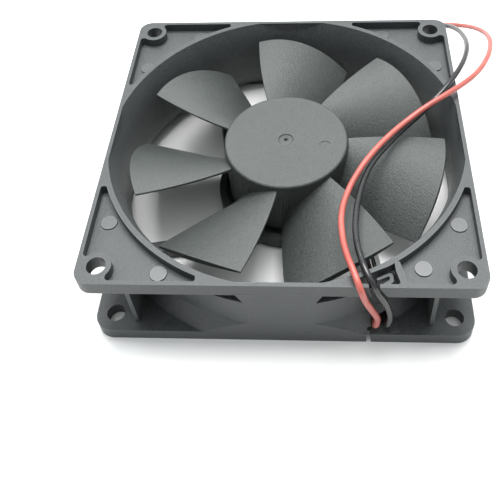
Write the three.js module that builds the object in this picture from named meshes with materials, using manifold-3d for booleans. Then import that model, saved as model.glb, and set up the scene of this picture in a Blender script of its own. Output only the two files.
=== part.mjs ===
// A 92 mm axial case fan: moulded frame, seven-blade impeller, brushless motor and two free leads.
// Millimetres. Origin at the centre of the outlet face, +Z towards the inlet, the lead clip at -Y.
import * as THREE from 'three';
import { mergeVertices } from 'three/addons/utils/BufferGeometryUtils.js';
import Module from 'manifold-3d';

const wasm = await Module();
wasm.setup();

// ---- Driving dimensions ----
const SIDE = 92;
const HALF = SIDE / 2;
const DEPTH = 25;
const HOLE_PITCH = 82.5;
const HOLE_RADIUS = 2.25;
const GAP = 0.3;

const INLET_FLANGE_Z = 21;
const OUTLET_FLANGE_TOP = 3.7;
const INLET_CORNER = 3.5;
const OUTLET_CORNER = 4.5;

const DUCT_RADIUS = 43.7;
const INLET_MOUTH = 46;
const OUTLET_MOUTH = 50.5;
const MOUTH_FOOT_Z = 15;
const FLARE_TOP_Z = 8;
const SIDE_WALL = 1;
const BARREL_RADIUS = 46.64;
const FLANGE_REACH = 51;
const FOOT_RADIUS = 49.8;
const FOOT_TOP_Z = 8.2;
const GROOVE_RADIUS = 45.3;
const GROOVE_FOOT_Z = 17.7;
const PANEL_HALF = { middle: 7.7, groove: 8.2, flange: 10 };
const PANEL_DEPTH = 2;
const INSET = 0.5;
const RING_RADIUS = 47.3;

const POCKET_FLOOR_Z = 22.5;
const POCKET_START = 18.3;
const CORNER_BLOCK = 38.7;
const BOSS_RADIUS = 3.5;
const PIN_MARK_RADIUS = 1.95;
const PIN_MARK_HEIGHT = 0.25;
const PIN_MARKS = [[41.5, 27.7], [27.3, 41.7]];
const PIN_MARK_BESIDE_CLIP = [32.2, -39.7];
const FLANGE_RIB = { x: 35.5, half: 0.5, y: [30.4, 43.5] };

const CLIP_FLOOR_Z = 20;
const CLIP_FRONT_Y = -45.1;
const HOOK_TOP = 23.2;
const EXIT_SLOT = { x: [21.1, 25.8], floor: 2.4, sill: 3.9, top: 6.4 };
const EXIT_SLIT_X = [20.15, 21.25];

const STRUT_Z = [0.3, 3.5];
const STRUT_WIDTH = 3.8;
const STRUT_INNER = [18, 247];
const STRUT_OUTER = [45, 210];

const BASE_RADIUS = 19.5;
const BASE_RECESS = 17.6;
const BASE_FLOOR_Z = [0.8, 2];
const BASE_RIM_TOP = 4;
const TUBE_RADIUS = 4.6;
const TUBE_BORE = 3.3;
const TUBE_TOP = 17;

const HUB_RADIUS = 16.3;
const HUB_INNER = 15;
const HUB_TOP = 22.1;
const HUB_SKIRT = 4.5;
const HUB_WALL = 1.3;
const GATE = { radius: 2, depth: 0.3 };
const HUB_MARK = { radius: 1.6, depth: 0.15, place: [10.3, -2.2] };
const BLADES = 7;
const BLADE_ROOT = 15.6;
const BLADE_TIP = 41.4;
const BLADE_THICK = { edge: 0.7, middle: 1.6 };
const BLADE_CAMBER = { root: 0.7, tip: 1.25 };
const BLADE_HIGH_Z = { root: 20, tip: 21.4 };
const BLADE_LOW_Z = { root: 6.6, tip: 11 };

const YOKE = { inner: 13.9, outer: 14.7, bore: 3.6, foot: 6.2, under: 19.5, top: 20.2 };
const MAGNET = { radii: [11.9, 13.6], z: [7.2, 17] };
const SHAFT_RADIUS = 1.5;
const SHAFT_GROOVE = 1.1;
const SHAFT_Z = [1.6, 20.3];
const BOSS = { outer: 3.2, z: [17.5, 20.5] };
const WASHER = { outer: 2.9, lower: [2.75, 3], upper: [16.9, 17.2] };
const CLIP_RING = { radii: [1.35, 2.6], z: [2.05, 2.35], gap: 0.8 };
const BEARING_BORE = 1.55;
const BEARING_Z = [3.3, 16.6];

const STATOR_RADIUS = 11.4;
const STATOR_YOKE = 6.6;
const STATOR_Z = [9.5, 14.5];
const POLES = 4;
const POLE_HEEL = 9.3;
const POLE_SPAN = 38;
const NECK_HALF = 1.5;
const GUARD = { radii: [9.3, 10.2], half: 4 };
const LOWER_INSULATOR = { arm: [8.4, 9.2], wall: [6.9, 9.2] };
const UPPER_INSULATOR = { arm: [14.8, 15.6], wall: [14.8, 17.1] };
const WINDING = { half: 3, z: [6.9, 17.1], window: 1.8, windowZ: [8.1, 15.9], from: 7, deep: 2 };
const BOARD_Z = [4.2, 5.2];
const BOARD_RADIUS = 13.2;
const WINDING_PIN = { radius: 0.35, z: [5.5, 8.1], at: 5.8 };

const LEAD = 1.5;
const LEAD_CHANNEL = { from: [17.6, -7], to: [23.5, -39.5], half: 3.15, inner: 2.05, wallTop: 4.2 };
const COIL = { x: 29, y: 58.5, inner: 6.65, outer: 11.15, black: [0.6, 2.1], red: [2.4, 3.9] };
const TIE = { width: 2.4, top: 4.6, thick: 0.35, head: 1.5, headHalf: 1.7, headZ: [1.2, 4.2], angle: 225 };
const CONNECTOR = { x: [2, 11.8], y: 64, width: 7.4, height: 5.8, pitch: 2.5 };
const CONTACT = { half: 0.75, bore: 1.05, z: [2.15, 3.65], boreZ: [1.85, 3.95], height: 2.9 };

// ---- Free leads: points chosen by hand, from the exit above the outlet flange to the coil ----
const RED_ROUTE = [
  [22.2, -42.2, 4.6], [22.1, -43.7, 5.1], [22.1, -45.1, 6.7], [22.2, -46.1, 9.5], [22.1, -46.8, 13.1],
  [20.8, -47.2, 17.0], [19.3, -47.3, 20.8], [18.5, -47.4, 23.7], [17.8, -46.8, 25.8], [16.7, -43.9, 26.9],
  [15.0, -38.1, 26.5], [14.2, -32.5, 25.8], [14.2, -26.5, 25.2], [15.6, -20.3, 24.9], [18.4, -13.8, 25.0],
  [22.1, -7.8, 25.3], [26.4, -2.3, 25.5], [31.3, 2.8, 25.8], [36.8, 7.1, 26.9], [42.5, 11.2, 27.5],
  [47.4, 15.6, 27.1], [51.9, 21.3, 25.8], [56.0, 29.0, 24.0], [58.9, 37.9, 21.2], [60.1, 45.8, 18.2],
  [59.8, 53.4, 14.4], [58.0, 60.4, 10.4], [55.0, 66.2, 6.6], [51.4, 70.4, 3.6], [47.2, 72.6, 2.1],
  [42.8, 72.4, 3.0], [39.2, 70.2, 4.6], [36.6, 66.9, 5.1],
];
const BLACK_ROUTE = [
  [24.6, -42.2, 4.6], [24.7, -43.7, 5.1], [24.8, -45.0, 6.8], [25.0, -45.8, 9.7], [25.0, -46.2, 13.0],
  [24.3, -46.3, 16.8], [23.0, -46.2, 20.1], [21.7, -45.9, 22.8], [20.6, -45.0, 25.0], [19.4, -43.0, 26.0],
  [18.2, -38.9, 25.9], [17.4, -33.7, 25.5], [17.5, -27.0, 24.9], [18.6, -20.2, 24.4], [20.5, -13.4, 23.9],
  [23.0, -8.0, 23.5], [26.4, -3.1, 23.3], [30.6, 2.2, 23.4], [35.6, 7.5, 23.9], [39.4, 11.5, 24.9],
  [42.3, 14.7, 25.8], [44.8, 18.2, 26.2], [47.7, 23.5, 25.8], [50.2, 30.1, 24.3], [52.0, 38.0, 21.8],
  [52.5, 46.3, 18.4], [51.8, 54.3, 14.6], [49.7, 61.0, 10.6], [46.4, 65.4, 7.4], [42.4, 66.6, 5.6],
  [38.8, 65.2, 5.1], [36.5, 62.4, 5.1],
];
const RED_INNER_ROUTE = [
  [9.8, -5.6, 3.1], [13.4, -6.4, 3.1], [16.5, -8.8, 3.1], [17.7, -12.4, 3.1], [18.4, -16.6, 3.1],
  [19.9, -25.0, 3.1], [21.4, -33.0, 3.1], [22.1, -38.0, 3.3], [22.2, -41.6, 4.3],
];
const BLACK_INNER_ROUTE = [
  [9.8, -2.6, 3.1], [14.2, -3.8, 3.1], [17.7, -7.0, 3.1], [19.4, -11.6, 3.1], [20.3, -16.6, 3.1],
  [21.8, -25.0, 3.1], [23.3, -33.0, 3.1], [24.2, -38.0, 3.3], [24.5, -41.6, 4.3],
];

// ---- Helpers ----
const radians = THREE.MathUtils.degToRad;
const lerp = THREE.MathUtils.lerp;

function volumeOf(points, triangles) {
  const [a, b, c] = [new THREE.Vector3(), new THREE.Vector3(), new THREE.Vector3()];
  let total = 0;
  for (let i = 0; i < triangles.length; i += 3) {
    a.fromArray(points, 3 * triangles[i]);
    b.fromArray(points, 3 * triangles[i + 1]);
    c.fromArray(points, 3 * triangles[i + 2]);
    total += a.dot(b.cross(c)) / 6;
  }
  return total;
}

// A closed geometry as a solid whose faces point out.
function solid(geometry) {
  const bare = new THREE.BufferGeometry();
  bare.setAttribute('position', geometry.getAttribute('position').clone());
  bare.setIndex(geometry.getIndex());
  const merged = mergeVertices(bare, 1e-4);
  const points = merged.getAttribute('position').array;
  const index = merged.getIndex().array;
  const triangles = [];
  for (let i = 0; i < index.length; i += 3) {
    const corners = Array.from(index.slice(i, i + 3));
    if (new Set(corners).size === 3) triangles.push(...corners);
  }
  if (volumeOf(points, triangles) < 0) triangles.reverse();
  return new wasm.Manifold(new wasm.Mesh({
    numProp: 3,
    vertProperties: Float32Array.from(points),
    triVerts: Uint32Array.from(triangles),
  }));
}

function geometryOf(body) {
  const mesh = body.getMesh();
  const geometry = new THREE.BufferGeometry();
  geometry.setAttribute('position', new THREE.BufferAttribute(Float32Array.from(mesh.vertProperties), 3));
  geometry.setIndex(new THREE.BufferAttribute(Uint32Array.from(mesh.triVerts), 1));
  geometry.computeVertexNormals();
  return geometry;
}

function united(bodies) {
  return bodies.reduce((whole, body) => whole.add(body));
}

// An outline in X and Y, extruded from z0 to z1.
function prism(shape, [z0, z1], curveSegments = 4) {
  const geometry = new THREE.ExtrudeGeometry(shape, { depth: z1 - z0, bevelEnabled: false, curveSegments });
  return solid(geometry.translate(0, 0, z0));
}

// A profile of [radius, z] points turned about the Z axis.
function revolved(profile, segments = 40) {
  const points = profile.map(([r, z]) => new THREE.Vector2(r, z));
  return solid(new THREE.LatheGeometry(points, segments).rotateX(Math.PI / 2));
}

function cylinder(radius, [z0, z1], [x, y] = [0, 0], segments = 24) {
  const geometry = new THREE.CylinderGeometry(radius, radius, z1 - z0, segments);
  return solid(geometry.rotateX(Math.PI / 2).translate(x, y, (z0 + z1) / 2));
}

function tube([inner, outer], [z0, z1], segments = 40) {
  return revolved([[inner, z0], [outer, z0], [outer, z1], [inner, z1], [inner, z0]], segments);
}

function block([x0, x1], [y0, y1], [z0, z1]) {
  const geometry = new THREE.BoxGeometry(x1 - x0, y1 - y0, z1 - z0);
  return solid(geometry.translate((x0 + x1) / 2, (y0 + y1) / 2, (z0 + z1) / 2));
}

function roundedRect([x0, y0], [x1, y1], r) {
  const shape = new THREE.Shape();
  shape.absarc(x1 - r, y1 - r, r, 0, Math.PI / 2);
  shape.absarc(x0 + r, y1 - r, r, Math.PI / 2, Math.PI);
  shape.absarc(x0 + r, y0 + r, r, Math.PI, 1.5 * Math.PI);
  shape.absarc(x1 - r, y0 + r, r, 1.5 * Math.PI, 2 * Math.PI);
  shape.closePath();
  return shape;
}

function polygon(points) {
  return new THREE.Shape(points.map(([x, y]) => new THREE.Vector2(x, y)));
}

function polar(radius, degrees) {
  return [radius * Math.cos(radians(degrees)), radius * Math.sin(radians(degrees))];
}

// Copies of a body turned about the Z axis by equal steps.
function around(body, count) {
  return Array.from({ length: count }, (_, k) => body.rotate([0, 0, (360 / count) * k]));
}

// A straight bar between two points, of the given half width.
function bar([x0, y0], [x1, y1], half, z, [before, after] = [0, 0]) {
  const length = Math.hypot(x1 - x0, y1 - y0);
  const angle = THREE.MathUtils.radToDeg(Math.atan2(y1 - y0, x1 - x0));
  return block([-before, length + after], [-half, half], z).rotate([0, 0, angle]).translate([x0, y0, 0]);
}

// ---- Frame ----
function ductBody() {
  const barrel = revolved([
    [0, 0], [FLANGE_REACH, 0], [FLANGE_REACH, OUTLET_FLANGE_TOP - INSET], [FOOT_RADIUS, OUTLET_FLANGE_TOP],
    [BARREL_RADIUS, FOOT_TOP_Z], [BARREL_RADIUS, GROOVE_FOOT_Z],
    [GROOVE_RADIUS, GROOVE_FOOT_Z], [GROOVE_RADIUS, INLET_FLANGE_Z + INSET],
    [RING_RADIUS, INLET_FLANGE_Z + INSET], [RING_RADIUS, DEPTH], [0, DEPTH],
  ], 72);
  const square = block([-HALF, HALF], [-HALF, HALF], [-1, DEPTH + 1]);
  return united([barrel.intersect(square), ...around(sidePanel(), 4)]);
}

// The flat in the middle of each side, which crosses the groove under the inlet flange.
function sidePanel() {
  const { middle, groove, flange } = PANEL_HALF;
  const [foot, top] = [GROOVE_FOOT_Z - PANEL_DEPTH, INLET_FLANGE_Z + INSET];
  const face = polygon([
    [-middle, foot], [middle, foot], [groove, GROOVE_FOOT_Z],
    [flange, top], [-flange, top], [-groove, GROOVE_FOOT_Z],
  ]);
  const geometry = new THREE.ExtrudeGeometry(face, { depth: PANEL_DEPTH, bevelEnabled: false });
  return solid(geometry.rotateX(Math.PI / 2).translate(0, HALF, 0));
}

// The air path: a curved mouth at the inlet, a cylinder at the blades and a curved flare at the outlet.
function airPath() {
  const flare = [];
  const mouth = [];
  const steps = 3;
  for (let i = 0; i <= steps; i += 1) {
    const turn = (i / steps) * (Math.PI / 2);
    const radius = OUTLET_MOUTH - (OUTLET_MOUTH - DUCT_RADIUS) * Math.sin(turn) ** 0.9;
    flare.push([radius, FLARE_TOP_Z * (1 - Math.cos(turn))]);
    const rise = i / steps;
    mouth.push([lerp(DUCT_RADIUS, INLET_MOUTH, rise ** 2), lerp(MOUTH_FOOT_Z, DEPTH, rise)]);
  }
  const path = revolved([
    [0, -1], [OUTLET_MOUTH, -1], ...flare, ...mouth, [INLET_MOUTH, DEPTH + 1], [0, DEPTH + 1],
  ], 72);
  const flat = HALF - SIDE_WALL;
  return path.intersect(block([-flat, flat], [-flat, flat], [-2, DEPTH + 2]));
}

function flanges() {
  const inlet = prism(roundedRect([-HALF, -HALF], [HALF, HALF], INLET_CORNER), [INLET_FLANGE_Z, DEPTH]);
  const outlet = prism(roundedRect([-HALF, -HALF], [HALF, HALF], OUTLET_CORNER), [0, OUTLET_FLANGE_TOP]);
  return [inlet, outlet];
}

// One corner's shallow pocket in the inlet face, around a solid block that carries the screw hole.
function cornerPocket() {
  const hole = HOLE_PITCH / 2;
  const z = [POCKET_FLOOR_Z, DEPTH + 1];
  const outside = [POCKET_FLOOR_Z - 1, DEPTH + 2];
  const rim = HALF - SIDE_WALL;
  return prism(roundedRect([POCKET_START, POCKET_START], [rim, rim], 0.6), z)
    .subtract(cylinder(RING_RADIUS, outside, [0, 0], 72))
    .subtract(prism(roundedRect([CORNER_BLOCK, CORNER_BLOCK], [HALF + 2, HALF + 2], 0.6), outside))
    .subtract(cylinder(BOSS_RADIUS, outside, [hole, hole]));
}

function pinMarks() {
  const z = [POCKET_FLOOR_Z - 0.5, POCKET_FLOOR_Z + PIN_MARK_HEIGHT];
  const marks = [];
  for (const [sideX, sideY] of [[-1, -1], [-1, 1], [1, -1], [1, 1]]) {
    for (const [x, y] of PIN_MARKS) {
      const besideClip = sideX > 0 && sideY < 0 && x < y;
      const centre = besideClip ? PIN_MARK_BESIDE_CLIP : [sideX * x, sideY * y];
      marks.push(cylinder(PIN_MARK_RADIUS, z, centre, 14));
    }
  }
  return marks;
}

function flangeRibs() {
  const { x, half, y } = FLANGE_RIB;
  const rib = block([x - half, x + half], y, [OUTLET_FLANGE_TOP - 0.5, INLET_FLANGE_Z + 0.5]);
  return [rib, rib.mirror([1, 0, 0]), rib.mirror([0, 1, 0]), rib.rotate([0, 0, 180])];
}

function struts() {
  const plain = bar(polar(...STRUT_INNER), polar(...STRUT_OUTER), STRUT_WIDTH / 2, STRUT_Z, [1, 9]);
  const { from, to, half, wallTop } = LEAD_CHANNEL;
  const channelled = bar(from, to, half, [STRUT_Z[0], wallTop], [1, 6.5]);
  const square = block([-HALF + 0.2, HALF - 0.2], [-HALF + 0.2, HALF - 0.2], [0, DEPTH]);
  return [...around(plain, 4).filter((_, k) => k !== 1), channelled].map((one) => one.intersect(square));
}

function motorBase() {
  const [floor, top] = BASE_FLOOR_Z;
  return revolved([
    [TUBE_BORE, floor], [BASE_RECESS, floor], [BASE_RECESS, STRUT_Z[0]], [BASE_RADIUS, STRUT_Z[0]],
    [BASE_RADIUS, BASE_RIM_TOP], [BASE_RECESS, BASE_RIM_TOP], [BASE_RECESS, top], [TUBE_RADIUS, top],
    [TUBE_RADIUS, TUBE_TOP], [TUBE_BORE, TUBE_TOP], [TUBE_BORE, floor],
  ]);
}

function leadChannelCuts() {
  const { from, to, inner } = LEAD_CHANNEL;
  const { x, floor, sill, top } = EXIT_SLOT;
  const base = BASE_FLOOR_Z[1];
  return [
    bar(from, to, inner, [base, top], [4, 1]),
    bar(from, to, inner + 1.3, [base, top], [5, -28]),
    block(x, [-43.6, -38], [floor, top]),
    block(x, [-HALF - 2, -38], [sill, top]),
    block(EXIT_SLIT_X, [-HALF - 1, -43.2], [-1, OUTLET_FLANGE_TOP + 1]),
  ];
}

// The lead clip in the inlet flange: a cavity open to the front through a slanted slot.
function clipCavity() {
  const outline = polygon([
    [16.8, -44], [20, -42.55], [24.4, -40.55], [24.95, -40.4], [25.45, -40.6], [25.7, -41.2],
    [26.6, -44.7], [26.3, CLIP_FRONT_Y], [17, CLIP_FRONT_Y],
  ]);
  return prism(outline, [CLIP_FLOOR_Z, DEPTH + 1]);
}

function clipSlot() {
  const face = polygon([
    [19.5, DEPTH + 1], [22.2, DEPTH + 1], [22.2, DEPTH - 0.6], [24.6, CLIP_FLOOR_Z], [20.8, CLIP_FLOOR_Z],
  ]);
  const depth = 2.4;
  const geometry = new THREE.ExtrudeGeometry(face, { depth, bevelEnabled: false });
  return solid(geometry.rotateX(Math.PI / 2).translate(0, -HALF + depth - 0.5, 0));
}

function clipWall() {
  const rib = polygon([[25.6, -39.2], [26.8, -39.4], [28.4, -45.5], [26.2, -45.5]]);
  return prism(rib, [INLET_FLANGE_Z, DEPTH]);
}

// A springy hairpin that rises from the front rim and folds back on itself beside the leads.
function clipHook() {
  const arm = polygon([
    [22.95, CLIP_FRONT_Y - 0.3], [23.9, CLIP_FRONT_Y - 0.3], [23.9, -44.5], [25.2, -43.4], [25.35, -42.2],
    [24.95, -41.45], [24.4, -41.3], [21.6, -42.6], [21.85, -43.2], [24.2, -42.1], [24.5, -42.4], [24.35, -43],
    [22.95, -44.1],
  ]);
  return prism(arm, [INLET_FLANGE_Z, HOOK_TOP]);
}

function screwHoles() {
  const hole = HOLE_PITCH / 2;
  return around(cylinder(HOLE_RADIUS, [-1, DEPTH + 1], [hole, hole]), 4);
}

function fanFrame() {
  const shell = united([ductBody(), ...flanges(), ...flangeRibs()]);
  const pocketed = around(cornerPocket(), 4).reduce((body, cut) => body.subtract(cut), shell);
  const walls = united([pocketed, clipWall(), ...pinMarks()]);
  const ducted = united([walls.subtract(airPath()), ...struts(), motorBase()]);
  const cuts = [
    ...leadChannelCuts(), ...screwHoles(), clipCavity(), clipSlot(),
    cylinder(TUBE_BORE, [-1, TUBE_TOP + 1], [0, 0], 40),
    cylinder(BASE_RECESS, [-1, BASE_FLOOR_Z[0]], [0, 0], 40),
  ];
  return united([cuts.reduce((body, cut) => body.subtract(cut), ducted), clipHook()]);
}

// ---- Impeller ----
// A point of the blade's middle surface: u runs from root to tip, s from the high edge to the low edge.
function bladePoint(u, s) {
  const radius = lerp(BLADE_ROOT, BLADE_TIP, u);
  const angle = lerp(lerp(7.2, 0.6, u), -42 + 5 * u ** 0.72, s);
  const drop = s - lerp(BLADE_CAMBER.root, BLADE_CAMBER.tip, u) * s * (1 - s);
  const high = lerp(BLADE_HIGH_Z.root, BLADE_HIGH_Z.tip, u);
  const low = lerp(BLADE_LOW_Z.root, BLADE_LOW_Z.tip, u);
  return new THREE.Vector3(...polar(radius, angle), lerp(high, low, drop));
}

function bladeNormal(u, s) {
  const step = 0.01;
  const along = bladePoint(u + step, s).sub(bladePoint(Math.max(u - step, 0), s));
  const across = bladePoint(u, s + step).sub(bladePoint(u, s - step));
  const normal = along.cross(across).normalize();
  return normal.z < 0 ? normal.negate() : normal;
}

function blade() {
  const geometry = new THREE.BoxGeometry(1, 1, 1, 5, 6, 1);
  const position = geometry.getAttribute('position');
  for (let i = 0; i < position.count; i += 1) {
    const [u, s] = [position.getX(i) + 0.5, position.getY(i) + 0.5];
    const thickness = lerp(BLADE_THICK.edge, BLADE_THICK.middle, 4 * s * (1 - s));
    const point = bladePoint(u, s).addScaledVector(bladeNormal(u, s), position.getZ(i) * thickness);
    position.setXYZ(i, ...point);
  }
  return solid(geometry);
}

function impeller() {
  const ceiling = HUB_TOP - HUB_WALL;
  const cup = revolved([
    [0, ceiling], [HUB_INNER, ceiling], [HUB_INNER, HUB_SKIRT], [HUB_RADIUS, HUB_SKIRT],
    [HUB_RADIUS, HUB_TOP - 1], [HUB_RADIUS - 0.3, HUB_TOP - 0.3], [HUB_RADIUS - 1, HUB_TOP], [0, HUB_TOP],
  ], 48);
  return united([cup, ...around(blade(), BLADES)])
    .subtract(cylinder(GATE.radius, [HUB_TOP - GATE.depth, HUB_TOP + 1], [0, 0], 16))
    .subtract(cylinder(HUB_MARK.radius, [HUB_TOP - HUB_MARK.depth, HUB_TOP + 1], HUB_MARK.place, 16));
}

// ---- Rotor parts inside the hub ----
function rotorYoke() {
  const { inner, outer, bore, foot, under, top } = YOKE;
  return revolved([
    [inner, foot], [outer, foot], [outer, top], [bore, top], [bore, under], [inner, under], [inner, foot],
  ]);
}

function shaft() {
  const [end, top] = SHAFT_Z;
  return revolved([
    [0, end], [1.2, end], [SHAFT_RADIUS, 1.8],
    [SHAFT_GROOVE, 1.85], [SHAFT_GROOVE, 2.6], [SHAFT_RADIUS, 2.65],
    [SHAFT_RADIUS, top], [0, top],
  ], 24);
}

function washer(z) {
  return tube([SHAFT_RADIUS + GAP / 2, WASHER.outer], z, 20);
}

function retainingClip() {
  const gap = block([0, 4], [-CLIP_RING.gap, CLIP_RING.gap], [1, 4]);
  return tube(CLIP_RING.radii, CLIP_RING.z, 20).subtract(gap);
}

// ---- Stator ----
// One pole's head: an arc that faces the magnet, with a flat heel behind the winding.
function poleHead() {
  const shoulder = 9.9;
  const shape = new THREE.Shape();
  shape.moveTo(POLE_HEEL, -3.4);
  shape.lineTo(...polar(shoulder, 2 - POLE_SPAN));
  shape.absarc(0, 0, STATOR_RADIUS, radians(-POLE_SPAN), radians(POLE_SPAN));
  shape.lineTo(...polar(shoulder, POLE_SPAN - 2));
  shape.lineTo(POLE_HEEL, 3.4);
  shape.closePath();
  return prism(shape, STATOR_Z, 3);
}

function statorCore() {
  const neck = block([5.5, 9.8], [-NECK_HALF, NECK_HALF], STATOR_Z);
  const ring = tube([TUBE_RADIUS + GAP, STATOR_YOKE], STATOR_Z, 32);
  return united([ring, ...around(neck.add(poleHead()), POLES)]);
}

// A bobbin half: a ring round the tube, an arm over each pole and a guard wall outside each winding.
function insulator({ arm, wall }) {
  const bridge = block([5.5, GUARD.radii[1]], [-NECK_HALF, NECK_HALF], arm);
  const guard = block(GUARD.radii, [-GUARD.half, GUARD.half], wall);
  const ring = tube([TUBE_RADIUS + GAP, STATOR_YOKE], arm, 32);
  return united([ring, ...around(bridge, POLES), ...around(guard, POLES)]);
}

function winding(k) {
  const { half, z, window, windowZ, from, deep } = WINDING;
  const outline = roundedRect([-half, z[0]], [half, z[1]], 1.4);
  const hole = roundedRect([-window, windowZ[0]], [window, windowZ[1]], 0.4);
  outline.holes.push(new THREE.Path(hole.getPoints(2)));
  const geometry = new THREE.ExtrudeGeometry(outline, { depth: deep, bevelEnabled: false, curveSegments: 2 });
  const upright = geometry.rotateX(Math.PI / 2).rotateZ(Math.PI / 2).translate(from, 0, 0);
  return solid(upright).rotate([0, 0, (360 / POLES) * k]);
}

function circuitBoard() {
  return tube([TUBE_RADIUS + GAP, BOARD_RADIUS], BOARD_Z, 36);
}

// A box-shaped component lying on the board, at a radius and an angle.
function component([length, width, height], radius, degrees) {
  const z = BOARD_Z[1] + GAP;
  const body = block([-length / 2, length / 2], [-width / 2, width / 2], [z, z + height]);
  return body.translate([radius, 0, 0]).rotate([0, 0, degrees]);
}

// ---- Leads ----
function leadTube(route, steps) {
  const section = new THREE.Shape();
  section.absarc(0, 0, LEAD / 2, 0, 2 * Math.PI);
  const points = route.map((point) => new THREE.Vector3(...point));
  const extrudePath = new THREE.CatmullRomCurve3(points, false, 'centripetal');
  return solid(new THREE.ExtrudeGeometry(section, { steps, extrudePath, curveSegments: 4 }));
}

function coilRing(z) {
  return tube([COIL.inner, COIL.outer], z, 32).translate([COIL.x, COIL.y, 0]);
}

// The last stretch of a lead, from the coil's outer turn into the connector.
function tailRoute(z, side) {
  const [x, y] = [COIL.x, COIL.y + COIL.outer - LEAD / 2];
  const drop = side > 0 ? 0.8 : 1.5;
  const end = CONNECTOR.y + (side * CONNECTOR.pitch) / 2;
  const entry = CONNECTOR.x[1];
  return [
    [x - 6.6, y - 0.1, z], [x - 8.6, y - drop, z],
    [x - 11, (y + end) / 2 + 0.45 * side - 0.3, (2 * z + CONTACT.height) / 3],
    [entry + 2.8, end + 0.4, CONTACT.height],
    [entry, end, CONTACT.height], [entry - 1.6, end, CONTACT.height],
  ];
}

function leadTie() {
  const { width, top, thick, head, headHalf, headZ, angle } = TIE;
  const [near, far] = [COIL.inner - 0.45, COIL.outer + 0.45];
  const outer = roundedRect([near - thick, 0], [far + thick, top], 0.5);
  const inner = roundedRect([near, GAP], [far, top - thick], 0.3);
  outer.holes.push(new THREE.Path(inner.getPoints(2)));
  const geometry = new THREE.ExtrudeGeometry(outer, { depth: width, bevelEnabled: false, curveSegments: 2 });
  const band = solid(geometry.rotateX(Math.PI / 2).translate(0, width / 2, 0));
  const lock = block([COIL.outer + 0.5, COIL.outer + 0.5 + head], [-headHalf, headHalf], headZ);
  return band.add(lock).rotate([0, 0, angle]).translate([COIL.x, COIL.y, 0]);
}

function contactLine(side) {
  return CONNECTOR.y + (side * CONNECTOR.pitch) / 2;
}

function connectorHousing() {
  const { x: [front, back], y, width, height } = CONNECTOR;
  const shell = block([front, back], [y - width / 2, y + width / 2], [0, height]);
  const bores = [-1, 1].map((side) => {
    const middle = contactLine(side);
    return block([front - 1, back + 1], [middle - CONTACT.bore, middle + CONTACT.bore], CONTACT.boreZ);
  });
  const wall = 0.8;
  const lip = block(
    [front - 1, front + 3.2], [y - width / 2 + wall, y + width / 2 - wall], [height - 0.9, height + 1],
  );
  return [...bores, lip].reduce((body, cut) => body.subtract(cut), shell);
}

function contact(side) {
  const { x: [front, back] } = CONNECTOR;
  const middle = contactLine(side);
  return block([front + 0.8, back - 2], [middle - CONTACT.half, middle + CONTACT.half], CONTACT.z);
}

// ---- Assembly ----
const MATERIALS = {
  black_plastic: [0x3a3c3d, 0.6, 0],
  dark_plastic: [0x2c2e30, 0.6, 0],
  steel: [0x9a9c9e, 0.35, 1],
  magnet: [0x2b2a29, 0.6, 0],
  brass: [0xb08d57, 0.35, 1],
  bronze: [0x8f6b45, 0.45, 1],
  laminate: [0x70736f, 0.5, 1],
  nylon: [0xd8d6cc, 0.5, 0],
  copper: [0xb8693c, 0.35, 1],
  board: [0x2f5d3a, 0.5, 0],
  chip: [0x1c1d1f, 0.5, 0],
  label: [0xc9cbc8, 0.5, 0],
  red_pvc: [0xd8484a, 0.35, 0],
  black_pvc: [0x1b1c1d, 0.35, 0],
};

const fan = new THREE.Group();
const stationary = new THREE.Group();
const rotor = new THREE.Group();
fan.add(stationary, rotor);

function place(group, name, material, body) {
  const [color, roughness, metalness] = MATERIALS[material];
  const paint = new THREE.MeshStandardMaterial({ color, roughness, metalness });
  const mesh = new THREE.Mesh(geometryOf(body), paint);
  mesh.name = name;
  group.add(mesh);
}

place(stationary, 'fan_frame', 'black_plastic', fanFrame());
place(stationary, 'bearing_cap', 'dark_plastic', cylinder(TUBE_BORE - GAP, [0.85, 1.3]));
place(stationary, 'rear_label', 'label', cylinder(BASE_RECESS - 0.5, [0.2, 0.45], [0, 0], 36));
place(stationary, 'sleeve_bearing', 'bronze', tube([BEARING_BORE, TUBE_BORE - GAP], BEARING_Z, 24));
place(stationary, 'circuit_board', 'board', circuitBoard());
place(stationary, 'hall_sensor', 'chip', component([1.6, 4, 1.2], 12, 0));
place(stationary, 'driver_chip', 'chip', component([3.9, 4.9, 1.1], 9.6, 135));
place(stationary, 'capacitor', 'nylon', component([1.3, 2, 0.9], 9.4, 45));
place(stationary, 'polarity_diode', 'chip', component([1.6, 2.8, 1], 9.4, 225));
[45, 135, 225].forEach((degrees, k) => {
  const { radius, z, at } = WINDING_PIN;
  place(stationary, `winding_pin_${k + 1}`, 'steel', cylinder(radius, z, polar(at, degrees), 8));
});
place(stationary, 'lower_insulator', 'nylon', insulator(LOWER_INSULATOR));
place(stationary, 'stator_core', 'laminate', statorCore());
place(stationary, 'upper_insulator', 'nylon', insulator(UPPER_INSULATOR));
for (let k = 0; k < POLES; k += 1) place(stationary, `winding_${k + 1}`, 'copper', winding(k));

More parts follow.
